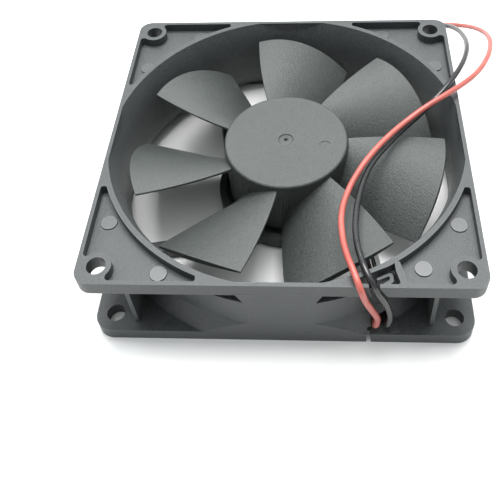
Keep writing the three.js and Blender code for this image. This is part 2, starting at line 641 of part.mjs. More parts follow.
place(stationary, 'red_lead_inner', 'red_pvc', leadTube(RED_INNER_ROUTE, 14));
place(stationary, 'black_lead_inner', 'black_pvc', leadTube(BLACK_INNER_ROUTE, 14));
place(stationary, 'red_lead', 'red_pvc', leadTube(RED_ROUTE, 66));
place(stationary, 'black_lead', 'black_pvc', leadTube(BLACK_ROUTE, 64));
place(stationary, 'red_lead_coil', 'red_pvc', coilRing(COIL.red));
place(stationary, 'black_lead_coil', 'black_pvc', coilRing(COIL.black));
place(stationary, 'red_lead_tail', 'red_pvc', leadTube(tailRoute(3.15, 1), 12));
place(stationary, 'black_lead_tail', 'black_pvc', leadTube(tailRoute(1.35, -1), 12));
place(stationary, 'lead_tie', 'nylon', leadTie());
place(stationary, 'connector_housing', 'nylon', connectorHousing());
place(stationary, 'contact_1', 'steel', contact(1));
place(stationary, 'contact_2', 'steel', contact(-1));

place(rotor, 'impeller', 'dark_plastic', impeller());
place(rotor, 'rotor_yoke', 'steel', rotorYoke());
place(rotor, 'magnet_ring', 'magnet', tube(MAGNET.radii, MAGNET.z));
place(rotor, 'shaft_boss', 'brass', tube([SHAFT_RADIUS + GAP, BOSS.outer], BOSS.z, 24));
place(rotor, 'shaft', 'steel', shaft());
place(rotor, 'upper_washer', 'nylon', washer(WASHER.upper));
place(rotor, 'lower_washer', 'nylon', washer(WASHER.lower));
place(rotor, 'retaining_clip', 'steel', retainingClip());

export default fan;
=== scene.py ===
import math

import bmesh
import bpy
from mathutils import Matrix, Vector


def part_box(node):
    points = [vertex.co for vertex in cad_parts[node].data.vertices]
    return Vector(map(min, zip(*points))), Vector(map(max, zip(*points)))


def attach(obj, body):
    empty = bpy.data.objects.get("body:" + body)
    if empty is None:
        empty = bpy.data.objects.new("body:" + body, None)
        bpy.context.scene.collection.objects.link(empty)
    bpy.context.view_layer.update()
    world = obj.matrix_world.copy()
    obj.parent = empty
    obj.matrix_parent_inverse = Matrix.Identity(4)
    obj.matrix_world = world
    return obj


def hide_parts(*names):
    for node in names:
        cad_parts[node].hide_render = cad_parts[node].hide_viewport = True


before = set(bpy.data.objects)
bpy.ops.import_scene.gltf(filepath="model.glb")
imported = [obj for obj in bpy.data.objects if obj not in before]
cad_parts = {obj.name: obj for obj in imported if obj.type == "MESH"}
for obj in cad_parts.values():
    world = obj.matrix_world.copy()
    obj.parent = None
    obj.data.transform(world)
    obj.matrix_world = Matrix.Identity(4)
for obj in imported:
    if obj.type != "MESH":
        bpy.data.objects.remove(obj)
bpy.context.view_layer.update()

# A 92 mm case fan. Shapes are worked out in millimetres, and each piece is scaled to metres when finished.
MM = 0.001

# ---- Driving dimensions, in millimetres ----
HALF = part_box("fan_frame")[1].x / MM
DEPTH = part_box("fan_frame")[1].z / MM
HOLE_PITCH = 82.5
HOLE_RADIUS = 2.25

INLET_FLANGE_Z = 21
OUTLET_FLANGE_TOP = 3.7
INLET_CORNER = 3.5
OUTLET_CORNER = 4.5

DUCT_RADIUS = 43.7
INLET_MOUTH = 46
OUTLET_MOUTH = 50.5
MOUTH_FOOT_Z = 15
FLARE_TOP_Z = 8
SIDE_WALL = 1
BARREL_RADIUS = 46.64
FLANGE_REACH = 51
FOOT_RADIUS = 49.8
FOOT_TOP_Z = 8.2
GROOVE_RADIUS = 45.3
GROOVE_FOOT_Z = 17.7
PANEL_HALF = (7.7, 8.2, 10)
PANEL_DEPTH = 2
RIB_X = 35.5
RIB_Y = (30.4, 43.5)
RIB_HALF = 0.5
INSET = 0.5
RING_RADIUS = 47.3

POCKET_FLOOR_Z = 22.5
POCKET_START = 18.3
POCKET_END = 38.9
BOSS_RADIUS = 3.5
PIN_MARK_RADIUS = 1.95
PIN_MARK_HEIGHT = 0.25
PIN_MARKS = ((41.5, 27.7), (27.3, 41.7))
PIN_MARK_BESIDE_CLIP = (32.2, -39.7)
WITNESS_WIDTH = 0.16
WITNESS_DEPTH = 0.15
HOOK_TOP = 23.2

STRUT_Z = (0.3, 3.5)
STRUT_WIDTH = 3.8
STRUT_INNER = (18, 247)
STRUT_OUTER = (45, 210)

BASE_RADIUS = 19.5
BASE_RECESS = 17.6
BASE_FLOOR_Z = (0.8, 2)
BASE_RIM_TOP = 4
LABEL_RING = 15.8
LABEL_LINE = 0.36
TUBE_RADIUS = 4.6
TUBE_BORE = 3.3
TUBE_TOP = 17

HUB_RADIUS = 16.3
HUB_INNER = 15
HUB_TOP = 22.1
HUB_RIM = 0.7
HUB_MARK_RADIUS = 1.6
HUB_MARK_DEPTH = 0.15
HUB_MARK_PLACE = (10.3, -2.2)
HUB_SKIRT = 4.5
HUB_WALL = 1.3
BLADES = 7
BLADE_ROOT = 15.6
BLADE_TIP = 41.4
BLADE_THICK = (0.7, 1.6)
BLADE_CAMBER = (0.7, 1.25)
BLADE_ROUND = 0.15
BLADE_HIGH_Z = (20, 21.4)
BLADE_LOW_Z = (6.6, 11)
BLADE_CHORD = 26
ROOT_FILLET = 0.45

LEAD = 1.5
CHANNEL_FROM = (17.6, -7)
CHANNEL_TO = (23.5, -39.5)
CHANNEL_HALF = 3.15
CHANNEL_INNER = 2.05
CHANNEL_TOP = 4.2
EXIT_SLOT_X = (21.1, 25.8)
EXIT_SLIT_X = (20.15, 21.25)

COIL_CENTRE = (29, 58.5)
RED_LAYER_Z = 2.3
BLACK_LAYER_Z = 0.8
COIL_OUTER_TURN = 10.4
COIL_FIRST_ANGLE = 247.5
COIL_LAST_ANGLE = 810
TURN_STEP = 22.5
TIE_ANGLE = 225
CONNECTOR_X = (2, 11.8)
CONNECTOR_Y = 64
CONNECTOR_WIDTH = 7.4
CONNECTOR_HEIGHT = 5.8
PIN_PITCH = 2.5
CONTACT_Z = 2.9

SEGMENTS = 180
EDGE_ROUND = 0.22

# ---- The free leads' routes, in millimetres, the same points as their CAD tubes ----
RED_ROUTE = [
    (22.2, -42.2, 4.6), (22.1, -43.7, 5.1), (22.1, -45.1, 6.7), (22.2, -46.1, 9.5), (22.1, -46.8, 13.1),
    (20.8, -47.2, 17.0), (19.3, -47.3, 20.8), (18.5, -47.4, 23.7), (17.8, -46.8, 25.8), (16.7, -43.9, 26.9),
    (15.0, -38.1, 26.5), (14.2, -32.5, 25.8), (14.2, -26.5, 25.2), (15.6, -20.3, 24.9), (18.4, -13.8, 25.0),
    (22.1, -7.8, 25.3), (26.4, -2.3, 25.5), (31.3, 2.8, 25.8), (36.8, 7.1, 26.9), (42.5, 11.2, 27.5),
    (47.4, 15.6, 27.1), (51.9, 21.3, 25.8), (56.0, 29.0, 24.0), (58.9, 37.9, 21.2), (60.1, 45.8, 18.2),
    (59.8, 53.4, 14.4), (58.0, 60.4, 10.4), (55.0, 66.2, 6.6), (51.4, 70.4, 3.6), (47.2, 72.6, 2.1),
    (42.8, 72.4, 3.0), (39.2, 70.2, 4.6), (36.6, 66.9, 5.1),
]
BLACK_ROUTE = [
    (24.6, -42.2, 4.6), (24.7, -43.7, 5.1), (24.8, -45.0, 6.8), (25.0, -45.8, 9.7), (25.0, -46.2, 13.0),
    (24.3, -46.3, 16.8), (23.0, -46.2, 20.1), (21.7, -45.9, 22.8), (20.6, -45.0, 25.0), (19.4, -43.0, 26.0),
    (18.2, -38.9, 25.9), (17.4, -33.7, 25.5), (17.5, -27.0, 24.9), (18.6, -20.2, 24.4), (20.5, -13.4, 23.9),
    (23.0, -8.0, 23.5), (26.4, -3.1, 23.3), (30.6, 2.2, 23.4), (35.6, 7.5, 23.9), (39.4, 11.5, 24.9),
    (42.3, 14.7, 25.8), (44.8, 18.2, 26.2), (47.7, 23.5, 25.8), (50.2, 30.1, 24.3), (52.0, 38.0, 21.8),
    (52.5, 46.3, 18.4), (51.8, 54.3, 14.6), (49.7, 61.0, 10.6), (46.4, 65.4, 7.4), (42.4, 66.6, 5.6),
    (38.8, 65.2, 5.1), (36.5, 62.4, 5.1),
]
# From above the coil down into its middle, then out to the first turn, as places round the coil's centre.
RED_ENTRY = [
    (5.2, 6.5, 4.3), (2.4, 5.0, 3.5), (-0.6, 4.1, 2.7), (-3.4, 3.1, 2.35), (-5.4, 1.3, 2.3),
    (-6.3, -1.1, 2.3), (-6.0, -3.8, 2.4), (-4.7, -6.0, 2.55),
]
BLACK_ENTRY = [
    (5.7, 2.3, 4.7), (3.3, 1.3, 3.8), (0.6, 0.9, 2.7), (-2.1, 0.8, 1.7), (-4.5, 0.1, 1.05), (-6.0, -1.6, 0.8),
    (-6.1, -3.9, 0.9), (-4.8, -6.0, 1.05),
]
RED_INNER_ROUTE = [
    (9.8, -5.6, 3.1), (13.4, -6.4, 3.1), (16.5, -8.8, 3.1), (17.7, -12.4, 3.1), (18.4, -16.6, 3.1),
    (19.9, -25.0, 3.1), (21.4, -33.0, 3.1), (22.1, -38.0, 3.3), (22.2, -41.0, 4.2), (22.2, -42.2, 4.6),
]
BLACK_INNER_ROUTE = [
    (9.8, -2.6, 3.1), (14.2, -3.8, 3.1), (17.7, -7.0, 3.1), (19.4, -11.6, 3.1), (20.3, -16.6, 3.1),
    (21.8, -25.0, 3.1), (23.3, -33.0, 3.1), (24.2, -38.0, 3.3), (24.5, -41.0, 4.2), (24.6, -42.2, 4.6),
]


# ---- Node materials ----
class Finish:
    """A node material under construction: its tree, its shader and its object coordinates."""

    def __init__(self, name):
        self.material = bpy.data.materials.new(name)
        self.material.use_nodes = True
        self.tree = self.material.node_tree
        self.shader = self.tree.nodes["Principled BSDF"]
        self.place = self.tree.nodes.new("ShaderNodeTexCoord").outputs["Object"]

    def node(self, kind, inputs=(), **settings):
        made = self.tree.nodes.new(kind)
        for key, value in settings.items():
            setattr(made, key, value)
        for key, value in dict(inputs).items():
            if isinstance(value, bpy.types.NodeSocket):
                self.tree.links.new(value, made.inputs[key])
            else:
                made.inputs[key].default_value = value
        return made

    def set(self, **values):
        for key, value in values.items():
            self.shader.inputs[key.replace("_", " ")].default_value = value
        return self

    def link(self, key, socket):
        self.tree.links.new(socket, self.shader.inputs[key])
        return self

    def noise(self, scale, detail=2.0, roughness=0.5, place=None):
        values = {"Vector": place or self.place, "Scale": scale, "Detail": detail, "Roughness": roughness}
        return self.node("ShaderNodeTexNoise", values).outputs["Fac"]

    def stretched(self, x, y, z):
        return self.node("ShaderNodeMapping", {"Vector": self.place, "Scale": (x, y, z)}).outputs["Vector"]

    def spread(self, value, low, high, low_out, high_out):
        values = {"Value": value, "From Min": low, "From Max": high, "To Min": low_out, "To Max": high_out}
        return self.node("ShaderNodeMapRange", values).outputs["Result"]

    def maths(self, operation, a, b=0.0):
        return self.node("ShaderNodeMath", {0: a, 1: b}, operation=operation).outputs[0]

    def mixed(self, factor, a, b):
        made = self.node("ShaderNodeMix", data_type="RGBA")
        for index, value in ((0, factor), (6, a), (7, b)):
            if isinstance(value, bpy.types.NodeSocket):
                self.tree.links.new(value, made.inputs[index])
            else:
                made.inputs[index].default_value = value
        return made.outputs[2]

    def bump(self, height, distance, strength=1.0, normal=None):
        values = {"Height": height, "Distance": distance, "Strength": strength}
        if normal is not None:
            values["Normal"] = normal
        return self.node("ShaderNodeBump", values).outputs["Normal"]


def rgb(red, green, blue):
    return (red, green, blue, 1.0)


def moulded_plastic(name, dark, light, roughness, grain=0.00012, sheen_spots=0.08, edge_highlight=0.15):
    """Moulded thermoplastic with a spark-eroded grain, faint flow marks and a painted highlight along its
    convex edges.
    """
    finish = Finish(name)
    fine = finish.noise(2900, detail=3, roughness=0.7)
    coarse = finish.noise(1500, detail=2)
    clouds = finish.noise(55, detail=4, roughness=0.55)
    speckle = finish.maths("ADD", finish.spread(fine, 0.3, 0.7, 0, 0.45),
                           finish.spread(coarse, 0.3, 0.7, 0, 0.42))
    tint = finish.maths("ADD", speckle, finish.spread(clouds, 0.3, 0.7, 0, 0.13))
    # Painted highlight: convex edges, found by occlusion inside the solid, are mixed towards a paler colour.
    inside = finish.node("ShaderNodeAmbientOcclusion", {"Distance": 0.0005}, samples=6, inside=True,
                         only_local=True).outputs["AO"]
    painted_edge_highlight = finish.maths("MULTIPLY", finish.spread(inside, 0.45, 0.95, 1, 0), edge_highlight)
    pale = tuple(min(1.0, 2.2 * value) for value in light[:3]) + (1.0,)
    finish.link("Base Color", finish.mixed(painted_edge_highlight, finish.mixed(tint, dark, light), pale))
    smooth, rough = roughness - sheen_spots, roughness + sheen_spots
    finish.link("Roughness", finish.spread(coarse, 0.3, 0.7, smooth, rough))
    grains = finish.maths("ADD", fine, finish.maths("MULTIPLY", coarse, 0.4))
    finish.link("Normal", finish.bump(grains, grain))
    return finish.material


def soft_pvc(name, dark, light, roughness):
    """Extruded PVC insulation: glossy, with long faint draw lines and small changes of tone."""
    finish = Finish(name)
    tone = finish.noise(140, detail=3)
    skin = finish.noise(2600, detail=2)
    finish.link("Base Color", finish.mixed(finish.spread(tone, 0.35, 0.65, 0, 1), dark, light))
    finish.link("Roughness", finish.spread(skin, 0.3, 0.7, roughness - 0.05, roughness + 0.07))
    finish.link("Normal", finish.bump(skin, 0.000008))
    finish.set(Specular_IOR_Level=0.55, Subsurface_Weight=0.05, Subsurface_Scale=0.0008)
    return finish.material


def nylon(name, dark, light, roughness=0.42):
    """Natural nylon: milky, slightly see-through, with soft flow marks."""
    finish = Finish(name)
    flow = finish.noise(220, detail=3)
    skin = finish.noise(3000, detail=2)
    finish.link("Base Color", finish.mixed(finish.spread(flow, 0.3, 0.7, 0, 1), dark, light))
    finish.link("Roughness", finish.spread(skin, 0.3, 0.7, roughness - 0.06, roughness + 0.06))
    finish.link("Normal", finish.bump(skin, 0.000008))
    finish.set(Subsurface_Weight=0.25, Subsurface_Scale=0.001)
    return finish.material


def metal(name, dark, light, roughness, stretch=(1, 1, 1), scale=900):
    """Bare metal with fine tool marks along one direction."""
    finish = Finish(name)
    marks = finish.noise(scale, detail=4, place=finish.stretched(*stretch))
    finish.link("Base Color", finish.mixed(finish.spread(marks, 0.3, 0.7, 0, 1), dark, light))
    finish.link("Roughness", finish.spread(marks, 0.3, 0.7, roughness - 0.08, roughness + 0.1))
    finish.link("Normal", finish.bump(marks, 0.000008))
    finish.set(Metallic=1.0)
    return finish.material


def laminations(name):
    """Stamped electrical steel: a stack of half-millimetre sheets, seen as lines round its edge."""
    finish = Finish(name)
    sheets = finish.node("ShaderNodeTexWave", {"Vector": finish.place, "Scale": 320.0, "Distortion": 0.3},
                         wave_type="BANDS", bands_direction="Z", wave_profile="SAW").outputs["Fac"]
    stain = finish.noise(500, detail=4)
    finish.link("Base Color", finish.mixed(finish.spread(stain, 0.3, 0.7, 0, 1), rgb(0.16, 0.17, 0.17),
                                           rgb(0.34, 0.35, 0.34)))
    finish.link("Roughness", finish.spread(stain, 0.3, 0.7, 0.35, 0.6))
    finish.link("Normal", finish.bump(sheets, 0.00008, 0.6))
    finish.set(Metallic=1.0)
    return finish.material


def enamelled_copper(name):
    """Layers of enamelled winding wire, 0.16 mm thick."""
    finish = Finish(name)
    wave = {"Vector": finish.place, "Scale": 980.0, "Distortion": 1.2, "Detail": 1.0}
    wires = finish.node("ShaderNodeTexWave", wave, wave_type="BANDS", bands_direction="Z").outputs["Fac"]
    tone = finish.noise(700, detail=3)
    finish.link("Base Color", finish.mixed(finish.spread(tone, 0.3, 0.7, 0, 1), rgb(0.42, 0.13, 0.04),
                                           rgb(0.78, 0.33, 0.12)))
    finish.link("Roughness", finish.spread(tone, 0.3, 0.7, 0.22, 0.4))
    finish.link("Normal", finish.bump(wires, 0.00006, 0.9))
    finish.set(Metallic=0.85, Coat_Weight=0.5, Coat_Roughness=0.15)
    return finish.material


def solder_mask(name):
    """A green circuit board: solder mask over faintly raised copper tracks."""
    finish = Finish(name)
    cells = finish.node("ShaderNodeTexVoronoi", {"Vector": finish.place, "Scale": 330.0},
                        feature="DISTANCE_TO_EDGE").outputs["Distance"]
    tracks = finish.spread(cells, 0.05, 0.12, 0, 1)
    weave = finish.noise(2600, detail=2)
    finish.link("Base Color", finish.mixed(tracks, rgb(0.012, 0.055, 0.022), rgb(0.03, 0.16, 0.06)))
    finish.link("Roughness", finish.spread(weave, 0.3, 0.7, 0.25, 0.42))
    finish.link("Normal", finish.bump(finish.maths("ADD", tracks, weave), 0.00003))
    return finish.material


def film_label(name):
    """A plain silver-grey film label with one thin printed ring near its edge."""
    finish = Finish(name)
    flat = finish.stretched(1, 1, 0)
    distance = finish.node("ShaderNodeVectorMath", {0: flat}, operation="LENGTH").outputs["Value"]
    from_ring = finish.maths("ABSOLUTE", finish.maths("SUBTRACT", distance, LABEL_RING * MM))
    ring = finish.maths("LESS_THAN", from_ring, LABEL_LINE / 2 * MM)
    fibre = finish.noise(1800, detail=4, place=finish.stretched(1, 8, 1))
    paper = finish.mixed(finish.spread(fibre, 0.3, 0.7, 0, 1), rgb(0.3, 0.305, 0.3), rgb(0.38, 0.385, 0.38))
    finish.link("Base Color", finish.mixed(ring, paper, rgb(0.03, 0.03, 0.035)))
    finish.link("Roughness", finish.spread(fibre, 0.3, 0.7, 0.32, 0.5))
    finish.link("Normal", finish.bump(fibre, 0.000006))
    return finish.material


def tabletop(name):
    finish = Finish(name)
    grain = finish.noise(25, detail=5)
    finish.link("Base Color", finish.mixed(grain, rgb(0.78, 0.78, 0.77), rgb(0.82, 0.82, 0.81)))
    finish.link("Roughness", finish.spread(grain, 0.3, 0.7, 0.55, 0.7))
    return finish.material


FINISHES = {
    "black_plastic": moulded_plastic("frame_plastic", rgb(0.022, 0.025, 0.0255), rgb(0.062, 0.068, 0.069),
                                     0.46),
    # Pin marks: a lower roughness for their polish, and a paler base colour that paints their sheen.
    "polished_plastic_painted_sheen": moulded_plastic("pin_mark_painted_sheen", rgb(0.05, 0.053, 0.053), rgb(0.075, 0.08, 0.079),
                                        0.36, grain=0.00001, sheen_spots=0.03, edge_highlight=0.2),
    "rotor_plastic": moulded_plastic("impeller_plastic", rgb(0.021, 0.025, 0.0235),
                                     rgb(0.06, 0.068, 0.0645), 0.43, grain=0.00016),
    "chip": moulded_plastic("chip_resin", rgb(0.01, 0.01, 0.011), rgb(0.028, 0.028, 0.03), 0.55),
    "magnet": moulded_plastic("ferrite_magnet", rgb(0.018, 0.017, 0.017), rgb(0.04, 0.038, 0.037), 0.7),
    "red_pvc": soft_pvc("red_insulation", rgb(0.33, 0.068, 0.052), rgb(0.42, 0.1, 0.078), 0.36),
    "black_pvc": soft_pvc("black_insulation", rgb(0.006, 0.0065, 0.007), rgb(0.016, 0.017, 0.018), 0.24),
    "nylon": nylon("natural_nylon", rgb(0.36, 0.35, 0.31), rgb(0.45, 0.44, 0.4)),
    "steel": metal("bright_steel", rgb(0.42, 0.43, 0.44), rgb(0.68, 0.69, 0.7), 0.28, stretch=(1, 1, 8)),
    "brass": metal("turned_brass", rgb(0.6, 0.4, 0.16), rgb(0.86, 0.64, 0.3), 0.28, stretch=(1, 1, 9)),
    "bronze": metal("sintered_bronze", rgb(0.3, 0.18, 0.09), rgb(0.55, 0.36, 0.18), 0.48, scale=2600),
    "laminate": laminations("stator_laminations"),
    "copper": enamelled_copper("winding_wire"),
    "board": solder_mask("circuit_board_mask"),
    "label": film_label("label_film"),
}


# ---- Mesh building, in millimetres ----
def new_object(name, bm):
    bmesh.ops.recalc_face_normals(bm, faces=bm.faces)
    mesh = bpy.data.meshes.new(name)
    bm.to_mesh(mesh)
    bm.free()
    made = bpy.data.objects.new(name, mesh)
    bpy.context.scene.collection.objects.link(made)
    return made


def applied(obj):
    """The object with its modifiers worked into its mesh."""
    depsgraph = bpy.context.evaluated_depsgraph_get()
    mesh = bpy.data.meshes.new_from_object(obj.evaluated_get(depsgraph))
    obj.modifiers.clear()
    obj.data = mesh
    return obj


def combine(operation, base, others):
    for other in others:
        modifier = base.modifiers.new(operation, "BOOLEAN")
        modifier.operation = operation
        modifier.solver = "MANIFOLD"
        modifier.object = other
    applied(base)
    base.data.materials.clear()
    for other in others:
        bpy.data.objects.remove(other)
    return base


def union(base, others):
    return combine("UNION", base, others)


def cut(base, others):
    return combine("DIFFERENCE", base, others)


def common(base, other):
    return combine("INTERSECT", base, [other])


def polar(radius, degrees):
    return (radius * math.cos(math.radians(degrees)), radius * math.sin(math.radians(degrees)))


def lerp(a, b, t):
    return a + (b - a) * t


def lathe(profile, segments=SEGMENTS):
    """A profile of (radius, z) points, from axis to axis or closed on itself, turned about Z."""
    bm = bmesh.new()
    rings = []
    for radius, z in profile:
        count = segments if radius > 0 else 1
        rings.append([bm.verts.new((*polar(radius, 360 * k / segments), z)) for k in range(count)])
    for lower, upper in zip(rings, rings[1:] + rings[:1]):
        if len(lower) == 1 and len(upper) == 1:
            continue
        for k in range(segments):
            corners = [lower[k % len(lower)], lower[(k + 1) % len(lower)],
                       upper[(k + 1) % len(upper)], upper[k % len(upper)]]
            bm.faces.new(list(dict.fromkeys(corners)))
    return new_object("lathe", bm)


def prism(outline, z0, z1):
    bm = bmesh.new()
    lower = [bm.verts.new((x, y, z0)) for x, y in outline]
    upper = [bm.verts.new((x, y, z1)) for x, y in outline]
    bm.faces.new(lower)
    bm.faces.new(upper)
    for k in range(len(outline)):
        after = (k + 1) % len(outline)
        bm.faces.new((lower[k], lower[after], upper[after], upper[k]))
    return new_object("prism", bm)


def cylinder(radius, z0, z1, centre=(0, 0), segments=48):
    return prism([(centre[0] + x, centre[1] + y)
                  for x, y in (polar(radius, 360 * k / segments) for k in range(segments))], z0, z1)


def block(x, y, z):
    return prism([(x[0], y[0]), (x[1], y[0]), (x[1], y[1]), (x[0], y[1])], *z)


def rounded(corners, steps=6):
    """An outline of (x, y, radius) corners, each corner as an arc of its radius."""
    outline = []
    for k, (x, y, radius) in enumerate(corners):
        here = Vector((x, y))
        if radius == 0:
            outline.append((x, y))
            continue
        before = (Vector(corners[k - 1][:2]) - here).normalized()
        after = (Vector(corners[(k + 1) % len(corners)][:2]) - here).normalized()
        half = before.angle(after) / 2
        centre = here + (before + after).normalized() * (radius / math.sin(half))
        start = here + before * (radius / math.tan(half)) - centre
        turn = start.angle_signed(here + after * (radius / math.tan(half)) - centre)
        for step in range(steps + 1):
            place = centre + Matrix.Rotation(-turn * step / steps, 2) @ start
            outline.append((place.x, place.y))
    return outline


def rounded_square(half, radius, steps=12):
    signs = ((1, 1), (-1, 1), (-1, -1), (1, -1))
    return rounded([(half * x, half * y, radius) for x, y in signs], steps)


def bar(start, end, half, z0, z1, before=0.0, after=0.0):
    """A straight bar between two points, of the given half width."""
    along = (Vector(end) - Vector(start)).normalized()
    side = Vector((-along.y, along.x)) * half
    first = Vector(start) - along * before
    last = Vector(end) + along * after
    return prism([tuple(first - side), tuple(last - side), tuple(last + side), tuple(first + side)], z0, z1)


def turned(obj, degrees):
    obj.data.transform(Matrix.Rotation(math.radians(degrees), 4, "Z"))
    return obj


def around(build, count):
    """Copies of what build() makes, turned about Z by equal steps."""
    return [turned(build(), 360 / count * k) for k in range(count)]


def softened(obj, width, segments=2, angle=32, merge=0.02, stays_sharp=None):
    """The object with its edges rounded where they are sharper than the angle."""
    bm = bmesh.new()
    bm.from_mesh(obj.data)
    bmesh.ops.remove_doubles(bm, verts=bm.verts, dist=merge)
    bmesh.ops.dissolve_degenerate(bm, edges=bm.edges, dist=merge)
    bmesh.ops.triangulate(bm, faces=[face for face in bm.faces if len(face.verts) > 4])
    weight = bm.edges.layers.float.new("bevel_weight_edge")
    for edge in bm.edges:
        if len(edge.link_faces) != 2 or edge.calc_face_angle() < math.radians(angle):
            continue
        if stays_sharp is None or not stays_sharp((edge.verts[0].co + edge.verts[1].co) / 2):
            edge[weight] = 1.0
    bm.to_mesh(obj.data)
    bm.free()
    modifier = obj.modifiers.new("edges", "BEVEL")
    modifier.width = width
    modifier.segments = segments
    modifier.limit_method = "WEIGHT"
    modifier.use_clamp_overlap = False
    return applied(obj)


def shaded(obj, angle=35, creased=None):
    """Smooth shading broken at sharp edges and at the creased ones, with flat faces kept flat."""
    for polygon in obj.data.polygons:
        polygon.use_smooth = True
    obj.data.set_sharp_from_angle(angle=math.radians(angle))
    if creased:
        bm = bmesh.new()
        bm.from_mesh(obj.data)
        for edge in filter(creased, bm.edges):
            edge.smooth = False
        bm.to_mesh(obj.data)
        bm.free()
    weighted = obj.modifiers.new("flat faces", "WEIGHTED_NORMAL")
    weighted.keep_sharp = True
    return applied(obj)


def finished(obj, name, slot, body, *nodes):
    """Scales a piece to metres, names it, paints it and lets it stand for its CAD nodes."""
    obj.data.transform(Matrix.Scale(MM, 4))
    obj.name = name
    obj.data.name = name
    if not obj.data.materials:
        obj.data.materials.append(FINISHES[slot])
    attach(obj, body)
    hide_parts(*nodes)
    return obj


# ---- Camera ----
CAMERA_PLACE = (10.671, -126.642, 160.290)
CAMERA_AZIMUTH = 5.5220
CAMERA_ELEVATION = 47.4310
CAMERA_ROLL = -4.1440
CAMERA_LENS = 51.286
CAMERA_SHIFT = (-0.06, -0.22)


def make_camera():
    data = bpy.data.cameras.new("camera")
    data.lens = CAMERA_LENS
    data.shift_x, data.shift_y = CAMERA_SHIFT
    data.clip_start = 0.005
    camera = bpy.data.objects.new("camera", data)
    azimuth, elevation, roll = (math.radians(v) for v in (CAMERA_AZIMUTH, CAMERA_ELEVATION, CAMERA_ROLL))
    back = Vector((math.sin(azimuth) * math.cos(elevation), -math.cos(azimuth) * math.cos(elevation),
                   math.sin(elevation)))
    right = Vector((math.cos(azimuth), math.sin(azimuth), 0))
    up = back.cross(right)
    across = right * math.cos(roll) + up * math.sin(roll)
    upward = up * math.cos(roll) - right * math.sin(roll)
    turn = Matrix((across, upward, back)).transposed().to_4x4()
    camera.matrix_world = Matrix.Translation(Vector(CAMERA_PLACE) * MM) @ turn
    bpy.context.scene.collection.objects.link(camera)
    bpy.context.scene.camera = camera


# ---- Leads ----
def lead_curve(name, points, slot, body, *nodes):
    """A round lead along smooth points, as a curve with a round section and closed ends."""
    data = bpy.data.curves.new(name, "CURVE")
    data.dimensions = "3D"
    data.resolution_u = 8
    data.bevel_depth = LEAD / 2 * MM
    data.bevel_resolution = 6
    data.use_fill_caps = True
    spline = data.splines.new("BEZIER")
    spline.bezier_points.add(len(points) - 1)
    for knot, place in zip(spline.bezier_points, points):
        knot.co = Vector(place) * MM
        knot.handle_left_type = "AUTO"
        knot.handle_right_type = "AUTO"
    made = bpy.data.objects.new(name, data)
    bpy.context.scene.collection.objects.link(made)
    data.materials.append(FINISHES[slot])
    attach(made, body)
    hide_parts(*nodes)
    return made


def over_tie(degrees):
    """How far the tie's band under the coil lifts a turn at this angle, in millimetres."""
    away = (degrees - TIE_ANGLE + 180) % 360 - 180
    return 0.3 * math.exp(-(away / 26) ** 2)


def coil_turns(layer_z):
    """The turns of one layer, from the inside out, each a diameter outside the one before."""
    turns = []
    count = round((COIL_LAST_ANGLE - COIL_FIRST_ANGLE) / TURN_STEP)
    for step in range(count + 1):
        angle = COIL_FIRST_ANGLE + step * TURN_STEP
        radius = COIL_OUTER_TURN - LEAD * (COIL_LAST_ANGLE - angle) / 360
        x, y = polar(radius, angle)
        turns.append((COIL_CENTRE[0] + x, COIL_CENTRE[1] + y, layer_z + over_tie(angle)))
    return turns


def tail(layer_z, side):
    """From the coil's outer turn into the back of the connector."""
    x, y = COIL_CENTRE[0], COIL_CENTRE[1] + COIL_OUTER_TURN
    drop = 0.8 if side > 0 else 1.5
    end = CONNECTOR_Y + side * PIN_PITCH / 2
    entry = CONNECTOR_X[1]
    return [
        (x - 3.4, y - 0.02, layer_z), (x - 6.6, y - 0.1, layer_z), (x - 8.6, y - drop, layer_z),
        (x - 11, (y + end) / 2 + 0.45 * side - 0.3, (2 * layer_z + CONTACT_Z) / 3),
        (entry + 2.8, end + 0.4, CONTACT_Z), (entry, end, CONTACT_Z), (entry - 1.6, end, CONTACT_Z),
    ]


def free_lead(route, entry, layer_z, side):
    placed = [(COIL_CENTRE[0] + x, COIL_CENTRE[1] + y, z) for x, y, z in entry]
    return route + placed + coil_turns(layer_z) + tail(layer_z, side)


make_camera()
red_lead = lead_curve("red_lead_wire", free_lead(RED_ROUTE, RED_ENTRY, RED_LAYER_Z, 1), "red_pvc", "frame",
                      "red_lead", "red_lead_coil", "red_lead_tail")
black_lead = lead_curve("black_lead_wire", free_lead(BLACK_ROUTE, BLACK_ENTRY, BLACK_LAYER_Z, -1),
                        "black_pvc", "frame", "black_lead", "black_lead_coil", "black_lead_tail")
lead_curve("red_lead_in_channel", RED_INNER_ROUTE, "red_pvc", "frame", "red_lead_inner")
lead_curve("black_lead_in_channel", BLACK_INNER_ROUTE, "black_pvc", "frame", "black_lead_inner")


# ---- Moulded frame ----
def side_panel():
    """The flat in the middle of each side, which crosses the groove under the inlet flange."""
    middle, groove, flange = PANEL_HALF
    foot, top = GROOVE_FOOT_Z - PANEL_DEPTH, INLET_FLANGE_Z + INSET
    face = [(-middle, foot), (middle, foot), (groove, GROOVE_FOOT_Z), (flange, top), (-flange, top),
            (-groove, GROOVE_FOOT_Z)]
    made = prism(face, -HALF, -HALF + PANEL_DEPTH)
    made.data.transform(Matrix.Rotation(math.radians(90), 4, "X"))
    return made


def duct_body():
    barrel = lathe([
        (0, 0), (FLANGE_REACH, 0), (FLANGE_REACH, OUTLET_FLANGE_TOP - INSET),
        (FOOT_RADIUS, OUTLET_FLANGE_TOP), (BARREL_RADIUS, FOOT_TOP_Z), (BARREL_RADIUS, GROOVE_FOOT_Z),
        (GROOVE_RADIUS, GROOVE_FOOT_Z), (GROOVE_RADIUS, INLET_FLANGE_Z + INSET),
        (RING_RADIUS, INLET_FLANGE_Z + INSET), (RING_RADIUS, DEPTH), (0, DEPTH),
    ])
    squared = common(barrel, block((-HALF, HALF), (-HALF, HALF), (-1, DEPTH + 1)))
    return union(squared, around(side_panel, 4))


